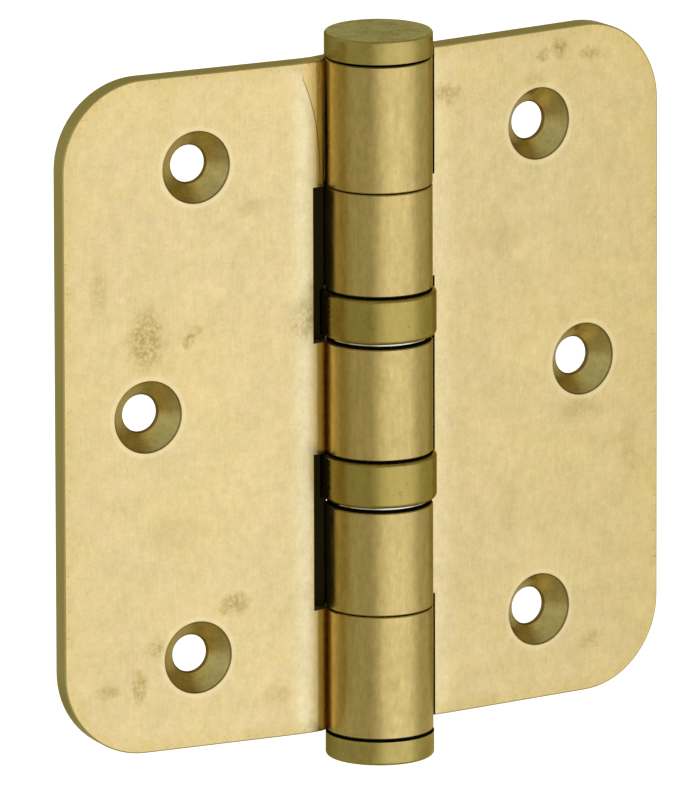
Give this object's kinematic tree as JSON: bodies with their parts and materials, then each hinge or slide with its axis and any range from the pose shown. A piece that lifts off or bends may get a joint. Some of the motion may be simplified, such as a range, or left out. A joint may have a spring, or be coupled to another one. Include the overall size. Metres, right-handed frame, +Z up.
{
  "type": "ball bearing butt hinge",
  "caption": "Solid brass butt hinge with radius corners, countersunk leaves, interleaved knuckles, thrust ball bearing collars and flat button tips.",
  "frame": {"origin": "on the pin axis, at mid height of the leaves", "axes": "+Z up along the pin; the left leaf runs towards -X and its countersunk face looks towards -Y; the right leaf runs towards +X and rests 8.8 degrees past flat, its outer edge swung towards +Y"},
  "size_m": [0.1008, 0.0204, 0.1096],
  "materials": {
    "leaf_brass": "satin, unlacquered, vertical grain with tarnish smudges",
    "tip_brass": "satin, slightly dulled",
    "shell_brass": "satin, slightly greener",
    "cage_brass": "stamped",
    "race_steel": "ground",
    "ball_steel": "polished",
    "pin_steel": "ground"
  },
  "bodies": {
    "left_side": {"left_leaf": "leaf_brass", "hinge_pin": "pin_steel", "top_button_tip": "tip_brass", "bottom_button_tip": "tip_brass", "upper_bearing_bottom_race": "race_steel", "lower_bearing_shell": "shell_brass", "lower_bearing_top_race": "race_steel"},
    "right_side": {"right_leaf": "leaf_brass", "upper_bearing_shell": "shell_brass", "upper_bearing_top_race": "race_steel", "lower_bearing_bottom_race": "race_steel"},
    "upper_ball_train": {"upper_bearing_cage": "cage_brass", "upper_bearing_balls": "ball_steel"},
    "lower_ball_train": {"lower_bearing_cage": "cage_brass", "lower_bearing_balls": "ball_steel"}
  },
  "joints": [
    {"name": "leaf_swing", "type": "hinge", "parent": "left_side", "child": "right_side", "pos_m": [0, 0, 0], "axis": [0, 0, 1], "range_deg": [-188.8, 81.2]},
    {"name": "upper_ball_orbit", "type": "hinge", "parent": "left_side", "child": "upper_ball_train", "pos_m": [0, 0, 0], "axis": [0, 0, 1], "range_deg": [-94.4, 40.6]},
    {"name": "lower_ball_orbit", "type": "hinge", "parent": "left_side", "child": "lower_ball_train", "pos_m": [0, 0, 0], "axis": [0, 0, 1], "range_deg": [-94.4, 40.6]}
  ],
  "couplings": [
    {"joint": "upper_ball_orbit", "follows": "leaf_swing", "ratio": 0.5},
    {"joint": "lower_ball_orbit", "follows": "leaf_swing", "ratio": 0.5}
  ]
}
